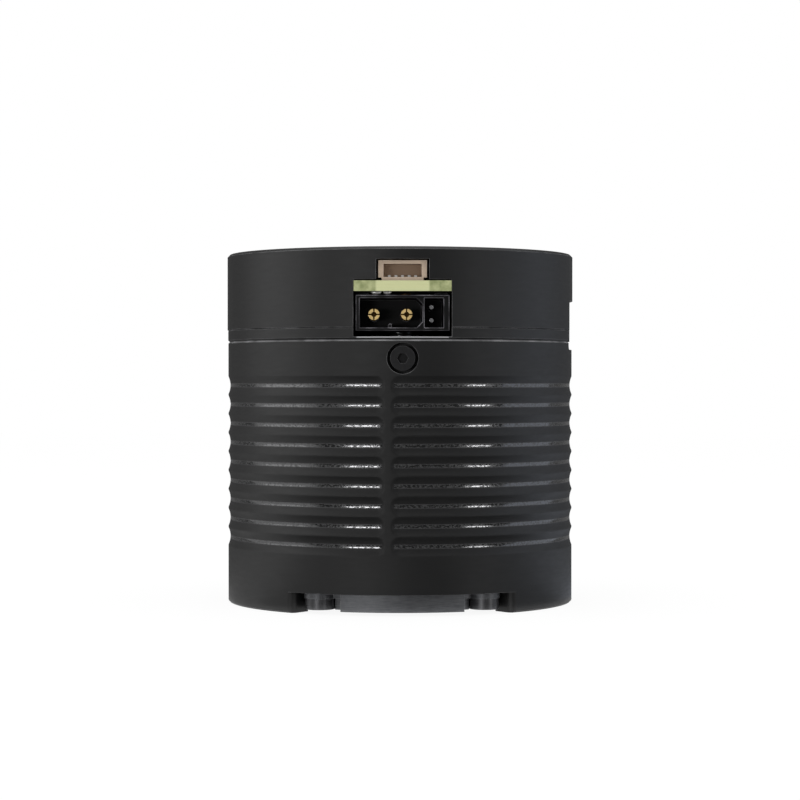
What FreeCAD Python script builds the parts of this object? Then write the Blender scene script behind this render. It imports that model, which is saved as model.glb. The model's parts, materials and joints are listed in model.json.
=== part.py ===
import FreeCAD, Part
import os
from math import acos, cos, degrees, hypot, pi, radians, sin, sqrt, tan

# Robot joint actuator: a brushless motor and a two-stage planetary gearbox in one ribbed housing,
# with the output flange at the bottom and the drive electronics under the rear cover at the top.
# Millimetres. +Z runs from the output face towards the rear cover, the origin is on the shaft axis
# at the output face, and the front, where the connectors are, is -Y. Azimuths are degrees about +Z
# from the front towards +X.

Vector = FreeCAD.Vector
AXIS = Vector(0, 0, 1)
CENTRE = Vector(0, 0, 0)

# ---- Fits -------------------------------------------------------------------------------------
seat_clearance = 0.02      # radial, a piece seated in a bore or a screw in its hole
running_clearance = 0.04   # radial, a shaft or pin that turns in a bush
gear_gap = 0.3             # axial, between a gear and the plate beside it
carrier_gap = 0.4          # axial, between the two stages' carriers
backlash = 0.10            # taken off the thickness of every gear tooth
past = 1.0                 # a cutting piece runs this far past the face it opens

# ---- Gearing ----------------------------------------------------------------------------------
gear_module = 0.7
pressure_angle = radians(25)
addendum = 1.0             # in modules
dedendum = 1.25            # in modules
sun_teeth = 12
planet_teeth = 24
planet_count = 3
planet_azimuth = 90
stage1_face = 3.8
stage2_face = 5.8
ring_wall = 3.125          # behind the ring gear's tooth roots
ring_pin_radius = 1.0
ring_pin_count = 3
ring_pin_length = 3.0
ring_pin_azimuth = 90

# ---- Motor housing ----------------------------------------------------------------------------
housing_wall = 3.0
edge_break = 0.25
rim_depth = 3.2            # depth of the open front rim
rim_wall = 3.8
rim_bottom_gap = 0.5       # front ring's face above the rim's face
notch_half_angle = 37.0
notch_rounding = 1.1
notch_azimuths = (0, 180)
groove_count = 9
groove_depth = 0.33
groove_crest = 0.20
groove_top_band = 5.5
groove_bottom_band = 9.07
land_azimuth = -4.6        # the grooves stop short of one narrow upright land
land_width = 0.86
rim_hole_radius = 1.05     # tapped M2.5
rim_hole_depth = 6.0
rim_hole_count = 4
rim_hole_azimuth = 45

# ---- Output end -------------------------------------------------------------------------------
output_bearing_bore = 35.0
output_bearing_outside = 44.0
output_bearing_width = 5.0
race_gap = 0.5             # radial gap between the two bearing rings
roller_diameter = 2.2
roller_length = 2.1
roller_count = 18
flange_shoulder = 1.8      # how far the flange's face reaches past the bearing's bore
flange_lift = 0.2          # flange's inner face above the bearing
seal_lip_gap = 0.05
seal_width = 1.7
seal_height = 1.9
seal_setback = 0.3         # below the bearing
lug_half_angle = 20.3
lug_inset = 0.7            # lugs and ears stay this far inside the housing's outside
ear_thickness = 0.9
ear_margin = 0.15
ring_screw_azimuth = 30.5
ring_screw_head = 4.5      # M2.5 low head
ring_screw_head_height = 1.7
ring_screw_radius = 1.25
ring_screw_length = 5.6
pilot_radius = 5.0
pilot_depth = 2.0
flange_hole_circle = 28.0
flange_chamfer = 0.3
flange_hole_radius = 1.25  # tapped M3
flange_hole_count = 6
flange_hole_depth = 4.0
flange_hole_azimuth = 0
pillar_radius = 2.8
carrier_plate_thickness = 1.2
carrier_rim = 0.9          # plate outside a planet pin
stage2_pin_radius = 2.0
stage2_bush_wall = 0.6
stage1_pin_radius = 1.5
stage1_carrier_thickness = 1.6
pin_seat = 4.5             # length of a stage 2 pin in the flange
carrier_screw_radius = 1.0
carrier_screw_length = 5.0
carrier_screw_head = 3.8
sun2_spigot_radius = 2.8

# ---- Motor ------------------------------------------------------------------------------------
gearbox_plate_thickness = 2.4
winding_clearance = 0.4
winding_overhang = 2.3
stack_length = 7.0
slot_count = 12
yoke_width = 2.2
tooth_width = 3.3
shoe_depth = 1.1
shoe_half_angle = 11.5
air_gap = 0.4
rotor_radius = 14.2
magnet_thickness = 2.0
magnet_count = 10
magnet_fill = 0.9
insulator_wall = 0.25
coil_thickness = 1.75
coil_yoke_gap = 0.5
shaft_radius = 3.0
shaft_shoulder = 0.5
sun_seat_radius = 2.0
bearing_outside = 6.0      # radius of the rotor's bearings
bearing_width = 3.0
bearing_ring = 1.0         # thickness of each ring
ball_radius = 0.8
ball_clearance = 0.03
ball_count = 8
hub_wall = 1.6
bearing_lip = 0.9
lead_radius = 0.75
lead_circle = 20.5
lead_azimuths = (150, 180, 210)
lead_hole_radius = 1.3

# ---- Rear bearing plate, held by radial screws --------------------------------------------------
rear_plate_thickness = 3.4
rear_clearance = 0.5       # above the windings
shim_height = 0.5
radial_screw_drop = 1.6    # screw axis below the plate's top
radial_screw_count = 3
radial_screw_head = 3.8    # M2 socket head
radial_screw_head_height = 2.0
radial_screw_radius = 1.0
radial_screw_length = 6.0
radial_counterbore = 4.8
radial_head_depth = 0.1    # head's top below the housing's outside
hex_across_flats = 1.5
hex_depth = 1.0

# ---- Rear cover -------------------------------------------------------------------------------
cover_lip = 1.9
cover_lip_step = 0.03
cover_lip_groove = 0.15     # shadow groove above the lip
cover_step = 0.13          # how far the cover stands proud of the housing
cover_wall = 1.5
roof_thickness = 1.4
cover_ledge = 0.9
spigot_length = 1.1
spigot_gap = 0.2
spigot_wall = 1.3
top_chamfer = 0.4
component_height = 3.8     # between the board and the roof
boss_radius = 2.5
cover_screw_radius = 1.0   # M2 countersunk
cover_screw_head = 3.8
cover_screw_length = 11.8
cover_hex_depth = 0.6

# ---- Driver board and connectors ----------------------------------------------------------------
board_drop = 7.3           # board's underside above the seam
board_thickness = 1.6
board_gap = 0.7            # between the board's edge and the cover
board_tongue_gap = 0.45    # tongue's end inside the cover's outside
tongue_side_gap = 0.075
standoff_circle = 41.6
standoff_azimuth = 45
standoff_count = 4
standoff_flats = 4.0
standoff_stud = 2.9
connector_width = 14.2
connector_height = 5.4
connector_depth = 10.5
connector_inset = 1.0      # connector's mouth inside the cover's outside
connector_solder_gap = 0.6
connector_wall = 0.45
side_connector_drop = 1.35
side_connector_azimuth = 90
window_gap = 0.4           # window around the connector's sides
window_sill = 0.4          # window's bottom above the seam
window_top_gap = 0.2       # window's top above the board
window_reach = 3.0         # windows are cut this far inside the cover's spigot
side_window_drop = 1.3     # side window's bottom below the seam
side_window_height = 7.9
side_window_rounding = 0.7
cavity_depth = 8.0
cavity_left = 6.54
cavity_right = 3.05
cavity_chamfer = 0.9
signal_left = 3.32
signal_right = 6.22
power_pin_pitch = 5.0
power_pin_offset = -4.35
power_pin_radius = 0.87
power_pin_bore = 0.4
power_pin_slit = 0.22      # two crossed slits split the pin's tip
power_pin_slit_depth = 3.0
power_pin_inset = 1.5
power_pin_drop = 2.9       # pin axis below the connector's top
signal_pin_offset = 4.43
signal_pin_pitch = 2.0
signal_pin_radius = 0.32
signal_pin_drop = 2.8
key_offset = -1.9
key_width = 0.5
key_height = 0.6
key_setback = 0.6          # below the connector's mouth
connector_foot = 2.0        # width of each foot
header_width = 7.4
header_height = 3.1
header_depth = 4.4
header_wall = 0.8
header_lip = 0.55
header_cavity_depth = 3.2
header_notch_width = 8.06
header_notch_gap = 0.2
header_inset = 0.95
header_foot_cut = 0.5
header_foot_height = 0.45
contact_count = 5
contact_pitch = 1.0
contact_width = 0.4
contact_thickness = 0.3
contact_length = 2.4
sensor_size = (5.0, 4.4, 1.0)
magnet_radius = 3.0
magnet_height = 2.5
sensor_gap = 0.5
magnet_cup_wall = 0.6
magnet_cup_depth = 2.0
magnet_cup_floor = 1.2
shaft_tail_radius = 2.0
capacitor_radius = 3.15
capacitor_height = 5.8
capacitor_circle = 17.0
capacitor_azimuths = (246, 270, 294)
chip_size = (6.0, 5.0, 1.1)
chip_circle = 18.0
chip_azimuths = (66, 90, 114, 156, 180, 204)
controller_size = (8.0, 8.0, 1.2)

# ---- Radii that follow ------------------------------------------------------------------------
ring_teeth = sun_teeth + 2 * planet_teeth
centre_distance = gear_module * (sun_teeth + planet_teeth) / 2
ring_root_radius = gear_module * (ring_teeth / 2 + dedendum)
ring_tip_radius = gear_module * (ring_teeth / 2 - addendum)
bore_radius = ring_root_radius + ring_wall
housing_radius = bore_radius + housing_wall
cover_radius = housing_radius + cover_step
cover_bore = cover_radius - cover_wall
rim_bore = housing_radius - rim_wall
planet_tip_radius = gear_module * (planet_teeth / 2 + addendum)
sun_tip_radius = gear_module * (sun_teeth / 2 + addendum)
race_radius = (output_bearing_bore + output_bearing_outside) / 4
flange_radius = output_bearing_bore / 2 + flange_shoulder
pillar_azimuth = planet_azimuth + 180 / planet_count
front_ring_bore = flange_radius + seal_width
front_ring_radius = rim_bore - seat_clearance
lug_radius = housing_radius - lug_inset
ring_screw_circle = (output_bearing_outside / 2 + housing_radius) / 2
ear_radius = ring_screw_head / 2 + ear_margin
rim_hole_circle = (rim_bore + housing_radius) / 2
stage2_bore = stage2_pin_radius + running_clearance + stage2_bush_wall
carrier_plate_radius = centre_distance + stage2_pin_radius + carrier_rim
stage1_carrier_radius = centre_distance + stage1_pin_radius + carrier_rim
stator_bore = rotor_radius + air_gap
stator_radius = bore_radius - seat_clearance
yoke_radius = bore_radius - yoke_width
magnet_inside = rotor_radius - magnet_thickness
hub_radius = bearing_outside + hub_wall

# ---- Heights that follow, from the output face up -----------------------------------------------
bearing_top = rim_depth + output_bearing_width
race_height = rim_depth + output_bearing_width / 2
flange_top = bearing_top + flange_lift
stage2_bottom = flange_top + gear_gap
stage2_top = stage2_bottom + stage2_face
carrier_plate_bottom = stage2_top + gear_gap
carrier_plate_top = carrier_plate_bottom + carrier_plate_thickness
stage1_carrier_bottom = carrier_plate_top + carrier_gap
stage1_carrier_top = stage1_carrier_bottom + stage1_carrier_thickness
stage1_bottom = stage1_carrier_top + gear_gap
stage1_top = stage1_bottom + stage1_face
ring_gear_top = stage1_top + carrier_gap
gearbox_plate_top = ring_gear_top + gearbox_plate_thickness
stack_bottom = gearbox_plate_top + winding_clearance + winding_overhang
stack_top = stack_bottom + stack_length
winding_top = stack_top + winding_overhang
rear_plate_bottom = winding_top + rear_clearance
rear_plate_top = rear_plate_bottom + rear_plate_thickness
seam = rear_plate_top + spigot_gap + spigot_length
board_bottom = seam + board_drop
board_top = board_bottom + board_thickness
roof_bottom = board_top + component_height
total_height = roof_bottom + roof_thickness
front_bearing_bottom = ring_gear_top + bearing_lip
front_bearing_top = front_bearing_bottom + bearing_width
rear_bearing_top = rear_plate_top - bearing_lip - shim_height
rear_bearing_bottom = rear_bearing_top - bearing_width
radial_screw_height = rear_plate_top - radial_screw_drop
connector_top = board_bottom - connector_solder_gap
magnet_top = board_bottom - sensor_size[2] - sensor_gap
magnet_bottom = magnet_top - magnet_height
window_width = connector_width + 2 * window_gap
groove_pitch = (seam - groove_top_band - groove_bottom_band) / groove_count


# ---- Shape helpers ----------------------------------------------------------------------------
def rod(radius, bottom, top, x=0.0, y=0.0):
    """Upright cylinder."""
    return Part.makeCylinder(radius, top - bottom, Vector(x, y, bottom))


def ring(inside, outside, bottom, top):
    """Plain upright ring."""
    return rod(outside, bottom, top).cut(rod(inside, bottom, top))


def block(x, y, z):
    """Box between two values along each axis."""
    return Part.makeBox(x[1] - x[0], y[1] - y[0], z[1] - z[0], Vector(x[0], y[0], z[0]))


def turned(profile):
    """Solid turned about the axis from a closed profile of (radius, height) points."""
    points = [Vector(r, 0, z) for r, z in profile]
    face = Part.Face(Part.makePolygon(points + points[:1]))
    return face.revolve(CENTRE, AXIS, 360)


def prism(outline, bottom, top):
    """Upright prism from a closed outline of (x, y) points."""
    points = [Vector(x, y, bottom) for x, y in outline]
    face = Part.Face(Part.makePolygon(points + points[:1]))
    return face.extrude(Vector(0, 0, top - bottom))


def turn(shape, azimuth):
    """Copy of a shape turned about the axis."""
    copy = shape.copy()
    copy.rotate(CENTRE, AXIS, azimuth)
    return copy


def around(shape, count, first=0.0):
    """Evenly spaced copies about the axis."""
    return [turn(shape, first + 360.0 * i / count) for i in range(count)]


def moved(shape, x=0.0, y=0.0, z=0.0):
    copy = shape.copy()
    copy.translate(Vector(x, y, z))
    return copy


def at_front(shape, radius):
    """Copy of a shape moved from the axis out to a radius at the front."""
    return moved(shape, y=-radius)


def sector(inside, outside, half_angle, bottom, top):
    """Part of a ring, centred on the front."""
    width = Part.makeCylinder(outside, top - bottom, Vector(0, 0, bottom), AXIS, 2 * half_angle)
    width = turn(width, -90 - half_angle)
    return width.cut(rod(inside, bottom - past, top + past))


def hexagon(across_flats, bottom, top):
    corner = across_flats / 2 / cos(pi / 6)
    outline = [(corner * cos(radians(60 * i)), corner * sin(radians(60 * i))) for i in range(6)]
    return prism(outline, bottom, top)


def socket_screw(head_diameter, head_height, shank_radius, shank_length):
    """Socket head cap screw pointing up +Z, with the underside of its head at height 0."""
    head = rod(head_diameter / 2, -head_height, 0)
    socket = hexagon(hex_across_flats * head_diameter / radial_screw_head, -head_height,
                     -head_height + hex_depth)
    return head.fuse(rod(shank_radius, 0, shank_length)).removeSplitter().cut(socket)


# ---- Gear teeth -------------------------------------------------------------------------------
def involute(angle):
    return tan(angle) - angle


def gear_outline(teeth, tip_radius, root_radius, thinning, first_angle=0.0):
    """Outline of a spur gear, as (x, y) points. first_angle is the centre of a tooth, in radians."""
    pitch_radius = gear_module * teeth / 2
    base_radius = pitch_radius * cos(pressure_angle)
    half_pitch_tooth = (pi * gear_module / 2 - thinning) / (2 * pitch_radius)

    def half_tooth(radius):
        flank = acos(min(1.0, base_radius / radius))
        return half_pitch_tooth + involute(pressure_angle) - involute(flank)

    radii = [root_radius, pitch_radius, tip_radius]
    if base_radius > root_radius + gear_module / 4:
        radii.insert(1, base_radius)
    outline = []
    for tooth in range(teeth):
        middle = first_angle + 2 * pi * tooth / teeth
        for radius in radii:
            angle = middle - half_tooth(radius)
            outline.append((radius * cos(angle), radius * sin(angle)))
        for radius in reversed(radii):
            angle = middle + half_tooth(radius)
            outline.append((radius * cos(angle), radius * sin(angle)))
    return outline


def external_gear(teeth, bottom, top, first_angle=0.0):
    tip = gear_module * (teeth / 2 + addendum)
    root = gear_module * (teeth / 2 - dedendum)
    return prism(gear_outline(teeth, tip, root, backlash, first_angle), bottom, top)


# ---- Housing and output end -------------------------------------------------------------------
def cooling_groove(height):
    """Shallow ball-nosed groove round the housing, with a rounded run-out beside the land."""
    half_width = (groove_pitch - groove_crest) / 2
    cutter = (half_width ** 2 + groove_depth ** 2) / (2 * groove_depth)
    path_radius = housing_radius - groove_depth + cutter
    run_out = degrees((land_width / 2 + half_width) / housing_radius)
    groove = Part.makeTorus(path_radius, cutter, CENTRE, AXIS, 0, 360, 360 - 2 * run_out)
    groove = moved(turn(groove, land_azimuth - 90 + run_out), z=height)
    ends = [moved(turn(at_front(Part.makeSphere(cutter), path_radius), land_azimuth + side * run_out),
                  z=height) for side in (-1, 1)]
    return groove.multiFuse(ends)


def rim_notch(azimuth):
    """Gap in the front rim for a lug of the front ring, with rounded outer corners."""
    notch = sector(rim_bore - past, housing_radius + past, notch_half_angle, -past, rim_depth)
    return turn(notch, azimuth)


def radial_hole(radius, inside, outside):
    """Hole from the axis side outwards, at the front."""
    return Part.makeCylinder(radius, outside - inside, Vector(0, -inside, radial_screw_height),
                             Vector(0, -1, 0))


def motor_housing():
    body = turned([
        (rim_bore, 0), (housing_radius - edge_break, 0), (housing_radius, edge_break),
        (housing_radius, seam - edge_break), (housing_radius - edge_break, seam),
        (bore_radius, seam), (bore_radius, bearing_top),
        (output_bearing_outside / 2, bearing_top), (output_bearing_outside / 2, rim_depth),
        (rim_bore, rim_depth)])
    cuts = [cooling_groove(groove_bottom_band + groove_pitch * (i + 0.5)) for i in range(groove_count)]
    cuts += [rim_notch(azimuth) for azimuth in notch_azimuths]
    cuts += around(at_front(rod(rim_hole_radius, -1, rim_hole_depth), rim_hole_circle),
                   rim_hole_count, rim_hole_azimuth)
    for side in (-1, 1):
        hole = rod(ring_screw_radius + seat_clearance, rim_depth - past,
                   rim_depth - ear_thickness + ring_screw_length + seat_clearance)
        hole = turn(at_front(hole, ring_screw_circle), side * ring_screw_azimuth)
        cuts += [turn(hole, azimuth) for azimuth in notch_azimuths]
    counterbore = radial_hole(radial_counterbore / 2, screw_seat_radius(), housing_radius + past)
    clearance_hole = radial_hole(radial_screw_radius + seat_clearance, bore_radius - past, housing_radius)
    cuts += around(counterbore.fuse(clearance_hole), radial_screw_count)
    cuts.append(side_window())
    cuts += around(ring_pin_hole(), ring_pin_count, ring_pin_azimuth)
    body = body.cut(cuts)
    corners = [edge for edge in body.Edges if is_notch_corner(edge)]
    return body.makeFillet(notch_rounding, corners)


def is_notch_corner(edge):
    """Whether an edge is one of the upright outer corners of the rim's notches."""
    ends = [vertex.Point for vertex in edge.Vertexes]
    if len(ends) != 2 or max(p.z for p in ends) > rim_depth + 0.01:
        return False
    upright = abs(ends[0].z - ends[1].z) > rim_depth / 2
    return upright and hypot(ends[0].x, ends[0].y) > housing_radius - edge_break


def screw_seat_radius():
    return housing_radius - radial_head_depth - radial_screw_head_height


def ring_pin_hole():
    """Half of each pin hole is in the ring gear and half in the housing."""
    return at_front(rod(ring_pin_radius + seat_clearance, ring_gear_top - ring_pin_length,
                        ring_gear_top), bore_radius)


def front_ring():
    """Clamps the output bearing, with two lugs in the rim's notches and a screw ear each side."""
    body = ring(front_ring_bore, front_ring_radius, rim_bottom_gap, rim_depth)
    lug = sector(rim_bore - past, lug_radius, lug_half_angle, rim_bottom_gap, rim_depth)
    ears, cuts = [], []
    for side in (-1, 1):
        reach = sector(rim_bore - past, ring_screw_circle, (ring_screw_azimuth - lug_half_angle) / 2,
                       rim_depth - ear_thickness, rim_depth)
        reach = turn(reach, side * (ring_screw_azimuth + lug_half_angle) / 2)
        ear = at_front(rod(ear_radius, rim_depth - ear_thickness, rim_depth), ring_screw_circle)
        room = at_front(rod(ear_radius, -1, rim_depth - ear_thickness), ring_screw_circle)
        hole = at_front(rod(ring_screw_radius + seat_clearance, -past, rim_depth + past), ring_screw_circle)
        ears += [reach, turn(ear, side * ring_screw_azimuth)]
        cuts += [turn(room, side * ring_screw_azimuth), turn(hole, side * ring_screw_azimuth)]
    lugs = [turn(piece, azimuth) for azimuth in notch_azimuths for piece in [lug] + ears]
    rooms = [turn(piece, azimuth) for azimuth in notch_azimuths for piece in cuts]
    return body.multiFuse(lugs).cut(rooms).removeSplitter()


def front_ring_screws():
    screw = socket_screw(ring_screw_head, ring_screw_head_height, ring_screw_radius, ring_screw_length)
    screw = moved(at_front(screw, ring_screw_circle), z=rim_depth - ear_thickness)
    return [turn(screw, azimuth + side * ring_screw_azimuth)
            for azimuth in notch_azimuths for side in (-1, 1)]


def output_seal():
    top = rim_depth - seal_setback
    return ring(flange_radius + seal_lip_gap, front_ring_bore - seat_clearance, top - seal_height, top)


def bearing_race(side):
    """Ring of the crossed roller bearing: side -1 is the inner ring, 1 the outer ring."""
    seat = output_bearing_outside / 2 - seat_clearance if side > 0 else output_bearing_bore / 2
    face = race_radius + side * race_gap / 2
    groove = (roller_diameter / 2 + seat_clearance) * sqrt(2)
    apex = race_radius + side * groove
    mouth = groove - race_gap / 2
    return turned([
        (seat, rim_depth), (face, rim_depth), (face, race_height - mouth), (apex, race_height),
        (face, race_height + mouth), (face, bearing_top), (seat, bearing_top)])


def output_bearing_rollers():
    """Rollers lean inwards and outwards in turn, between the V grooves of the two rings."""
    rollers = []
    for i in range(roller_count):
        lean = 45 if i % 2 else -45
        roller = moved(rod(roller_diameter / 2, -roller_length / 2, roller_length / 2), z=race_height)
        roller.rotate(Vector(0, 0, race_height), Vector(1, 0, 0), lean)
        rollers.append(turn(at_front(roller, race_radius), 360.0 * i / roller_count))
    return rollers


def output_flange():
    journal = output_bearing_bore / 2 - seat_clearance
    disc = turned([
        (0, pilot_depth), (pilot_radius, pilot_depth), (pilot_radius, 0),
        (flange_radius - flange_chamfer, 0), (flange_radius, flange_chamfer),
        (flange_radius, rim_depth), (journal, rim_depth), (journal, flange_top), (0, flange_top)])
    pillar = at_front(rod(pillar_radius, flange_top, carrier_plate_bottom), centre_distance)
    body = disc.multiFuse(around(pillar, planet_count, pillar_azimuth))
    hole = at_front(rod(flange_hole_radius, -1, flange_hole_depth), flange_hole_circle / 2)
    pin_hole = at_front(rod(stage2_pin_radius, flange_top - pin_seat, flange_top + past), centre_distance)
    thread = at_front(rod(carrier_screw_radius, carrier_plate_top - carrier_screw_length,
                          carrier_plate_top), centre_distance)
    cuts = around(hole, flange_hole_count, flange_hole_azimuth)
    cuts += around(pin_hole, planet_count, planet_azimuth)
    cuts += around(thread, planet_count, pillar_azimuth)
    return body.cut(cuts)


def output_planet_pins():
    pin = rod(stage2_pin_radius, flange_top - pin_seat, carrier_plate_top)
    return around(at_front(pin, centre_distance), planet_count, planet_azimuth)


def output_carrier_plate():
    plate = ring(sun_tip_radius + gear_gap, carrier_plate_radius, carrier_plate_bottom, carrier_plate_top)
    pin_hole = at_front(rod(stage2_pin_radius, 0, total_height), centre_distance)
    screw_hole = at_front(rod(carrier_screw_radius, 0, total_height), centre_distance)
    sink = at_front(carrier_screw_cone(), centre_distance)
    cuts = around(pin_hole, planet_count, planet_azimuth)
    cuts += around(screw_hole, planet_count, pillar_azimuth)
    cuts += around(sink, planet_count, pillar_azimuth)
    return plate.cut(cuts)


def carrier_screw_cone():
    """Countersunk head, flush with the carrier plate."""
    depth = min(carrier_screw_head / 2 - carrier_screw_radius, carrier_plate_thickness)
    return Part.makeCone(carrier_screw_head / 2 - depth, carrier_screw_head / 2, depth,
                         Vector(0, 0, carrier_plate_top - depth))


def output_carrier_screws():
    shank = rod(carrier_screw_radius, carrier_plate_top - carrier_screw_length, carrier_plate_top)
    socket = hexagon(hex_across_flats, carrier_plate_top - hex_depth, carrier_plate_top)
    screw = carrier_screw_cone().fuse(shank).cut(socket)
    return around(at_front(screw, centre_distance), planet_count, pillar_azimuth)


# ---- Gears ------------------------------------------------------------------------------------
def ring_gear():
    """Fixed ring gear of both stages, with a tooth centred on +X."""
    blank = rod(bore_radius - seat_clearance, bearing_top, ring_gear_top)
    spaces = prism(gear_outline(ring_teeth, ring_root_radius, ring_tip_radius, -backlash,
                                pi / ring_teeth), bearing_top - past, ring_gear_top + past)
    return blank.cut([spaces] + around(ring_pin_hole(), ring_pin_count, ring_pin_azimuth))


def ring_gear_pins():
    pin = rod(ring_pin_radius, ring_gear_top - ring_pin_length, ring_gear_top)
    return around(at_front(pin, bore_radius), ring_pin_count, ring_pin_azimuth)


def planet(stage, index):
    """Planet gear with a tooth space towards the sun and another towards the ring gear."""
    if stage == 1:
        bottom, top, bore = stage1_bottom, stage1_top, stage1_pin_radius + running_clearance
    else:
        bottom, top, bore = stage2_bottom, stage2_top, stage2_bore
    gear = external_gear(planet_teeth, bottom, top, pi / planet_teeth).cut(rod(bore, bottom, top))
    angle = 2 * pi * index / planet_count
    return moved(gear, centre_distance * cos(angle), centre_distance * sin(angle))


def planet_bush(index):
    bush = ring(stage2_pin_radius + running_clearance, stage2_bore, stage2_bottom, stage2_top)
    angle = 2 * pi * index / planet_count
    return moved(bush, centre_distance * cos(angle), centre_distance * sin(angle))


def stage2_sun_gear():
    gear = external_gear(sun_teeth, stage2_bottom, stage1_carrier_bottom)
    return gear.fuse(rod(sun2_spigot_radius, stage1_carrier_bottom, stage1_carrier_top))


def stage1_carrier():
    plate = ring(sun2_spigot_radius, stage1_carrier_radius, stage1_carrier_bottom, stage1_carrier_top)
    pin_hole = at_front(rod(stage1_pin_radius, 0, total_height), centre_distance)
    return plate.cut(around(pin_hole, planet_count, planet_azimuth))


def stage1_planet_pins():
    pin = rod(stage1_pin_radius, stage1_carrier_bottom, stage1_top)
    return around(at_front(pin, centre_distance), planet_count, planet_azimuth)


def stage1_sun_gear():
    gear = external_gear(sun_teeth, stage1_bottom, stage1_top)
    return gear.cut(rod(sun_seat_radius, stage1_bottom, stage1_top))


# ---- Motor ------------------------------------------------------------------------------------
def gearbox_plate():
    """Wall between gearbox and motor, with the rotor's front bearing in its hub."""
    plate = rod(bore_radius - seat_clearance, ring_gear_top, gearbox_plate_top)
    hub = rod(hub_radius, gearbox_plate_top, front_bearing_top)
    seat = rod(bearing_outside, front_bearing_bottom, front_bearing_top + past)
    passage = rod(bearing_outside - bearing_ring, ring_gear_top - past, front_bearing_bottom)
    return plate.fuse(hub).cut([seat, passage])


def ball_circle():
    return (shaft_radius + bearing_outside) / 2


def ball_race(bottom):
    """Groove that the balls of a rotor bearing run in."""
    race = Part.makeTorus(ball_circle(), ball_radius + ball_clearance)
    return moved(race, z=bottom + bearing_width / 2)


def rotor_bearing_outer(bottom):
    blank = ring(bearing_outside - bearing_ring, bearing_outside - seat_clearance, bottom,
                 bottom + bearing_width)
    return blank.cut(ball_race(bottom))


def rotor_bearing_inner(bottom):
    blank = ring(shaft_radius, shaft_radius + bearing_ring, bottom, bottom + bearing_width)
    return blank.cut(ball_race(bottom))


def rotor_bearing_balls(bottom):
    ball = moved(Part.makeSphere(ball_radius), z=bottom + bearing_width / 2)
    return around(at_front(ball, ball_circle()), ball_count)


def stator_core():
    yoke = ring(yoke_radius, stator_radius, stack_bottom, stack_top)
    tooth = block((-tooth_width / 2, tooth_width / 2), (-yoke_radius - yoke_width / 2, -stator_bore - 0.1),
                  (stack_bottom, stack_top))
    shoe = sector(stator_bore, stator_bore + shoe_depth, shoe_half_angle, stack_bottom, stack_top)
    teeth = around(tooth, slot_count) + around(shoe, slot_count)
    return yoke.multiFuse(teeth).removeSplitter()


def tooth_sleeve(inner_gap, outer_gap, inside, outside):
    """Box-shaped sleeve round one stator tooth, between two gaps off the tooth's sides."""
    low, high = stack_bottom - outer_gap, stack_top + outer_gap
    half = tooth_width / 2 + outer_gap
    solid = block((-half, half), (-outside, -inside), (low, high))
    half = tooth_width / 2 + inner_gap
    return solid.cut(block((-half, half), (-outside - past, -inside + past),
                           (stack_bottom - inner_gap, stack_top + inner_gap)))


def coil_span():
    """Radii between which a coil lies on its tooth."""
    return stator_bore + shoe_depth + insulator_wall, yoke_radius - coil_yoke_gap


def stator_insulators():
    inside, outside = coil_span()
    sleeve = tooth_sleeve(seat_clearance, insulator_wall, inside - insulator_wall, outside)
    return around(sleeve, slot_count)


def stator_windings():
    inside, outside = coil_span()
    thickness = min(coil_thickness, winding_overhang - insulator_wall)
    coil = tooth_sleeve(insulator_wall + seat_clearance, insulator_wall + thickness, inside, outside)
    upright = [edge for edge in coil.Edges if is_coil_corner(edge, insulator_wall + thickness)]
    return around(coil.makeFillet(thickness / 2, upright), slot_count)


def is_coil_corner(edge, gap):
    """Whether an edge is one of the four outer corners of a coil, which run along its tooth."""
    ends = [vertex.Point for vertex in edge.Vertexes]
    outer = tooth_width / 2 + gap
    return all(abs(abs(p.x) - outer) < 0.01 for p in ends) and abs(ends[0].y - ends[1].y) > 1


def phase_leads():
    lead = rod(lead_radius, winding_top, board_bottom)
    return [turn(at_front(lead, lead_circle), azimuth) for azimuth in lead_azimuths]


def rotor_shaft():
    """Stepped shaft: sun gear seat, front bearing, rotor core, rear bearing, magnet cup."""
    wide = shaft_radius + shaft_shoulder
    return turned([
        (0, stage1_bottom), (sun_seat_radius, stage1_bottom), (sun_seat_radius, stage1_top),
        (shaft_radius, stage1_top), (shaft_radius, front_bearing_top), (wide, front_bearing_top),
        (wide, rear_bearing_bottom), (shaft_radius, rear_bearing_bottom),
        (shaft_radius, rear_plate_top), (shaft_tail_radius, rear_plate_top),
        (shaft_tail_radius, magnet_bottom), (0, magnet_bottom)])


def rotor_core():
    return ring(shaft_radius + shaft_shoulder, magnet_inside, stack_bottom, stack_top)


def rotor_magnets():
    half_angle = 180.0 / magnet_count * magnet_fill
    magnet = sector(magnet_inside, rotor_radius, half_angle, stack_bottom, stack_top)
    return around(magnet, magnet_count)


def magnet_holder():
    bottom = magnet_bottom - magnet_cup_floor
    cup = rod(magnet_radius + magnet_cup_wall, bottom, magnet_bottom + magnet_cup_depth)
    return cup.cut([rod(magnet_radius, magnet_bottom, total_height),
                    rod(shaft_tail_radius, bottom - past, magnet_bottom)])


def encoder_magnet():
    return rod(magnet_radius, magnet_bottom, magnet_top)


def encoder_sensor():
    length, width, height = sensor_size
    return block((-length / 2, length / 2), (-width / 2, width / 2), (board_bottom - height, board_bottom))


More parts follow.
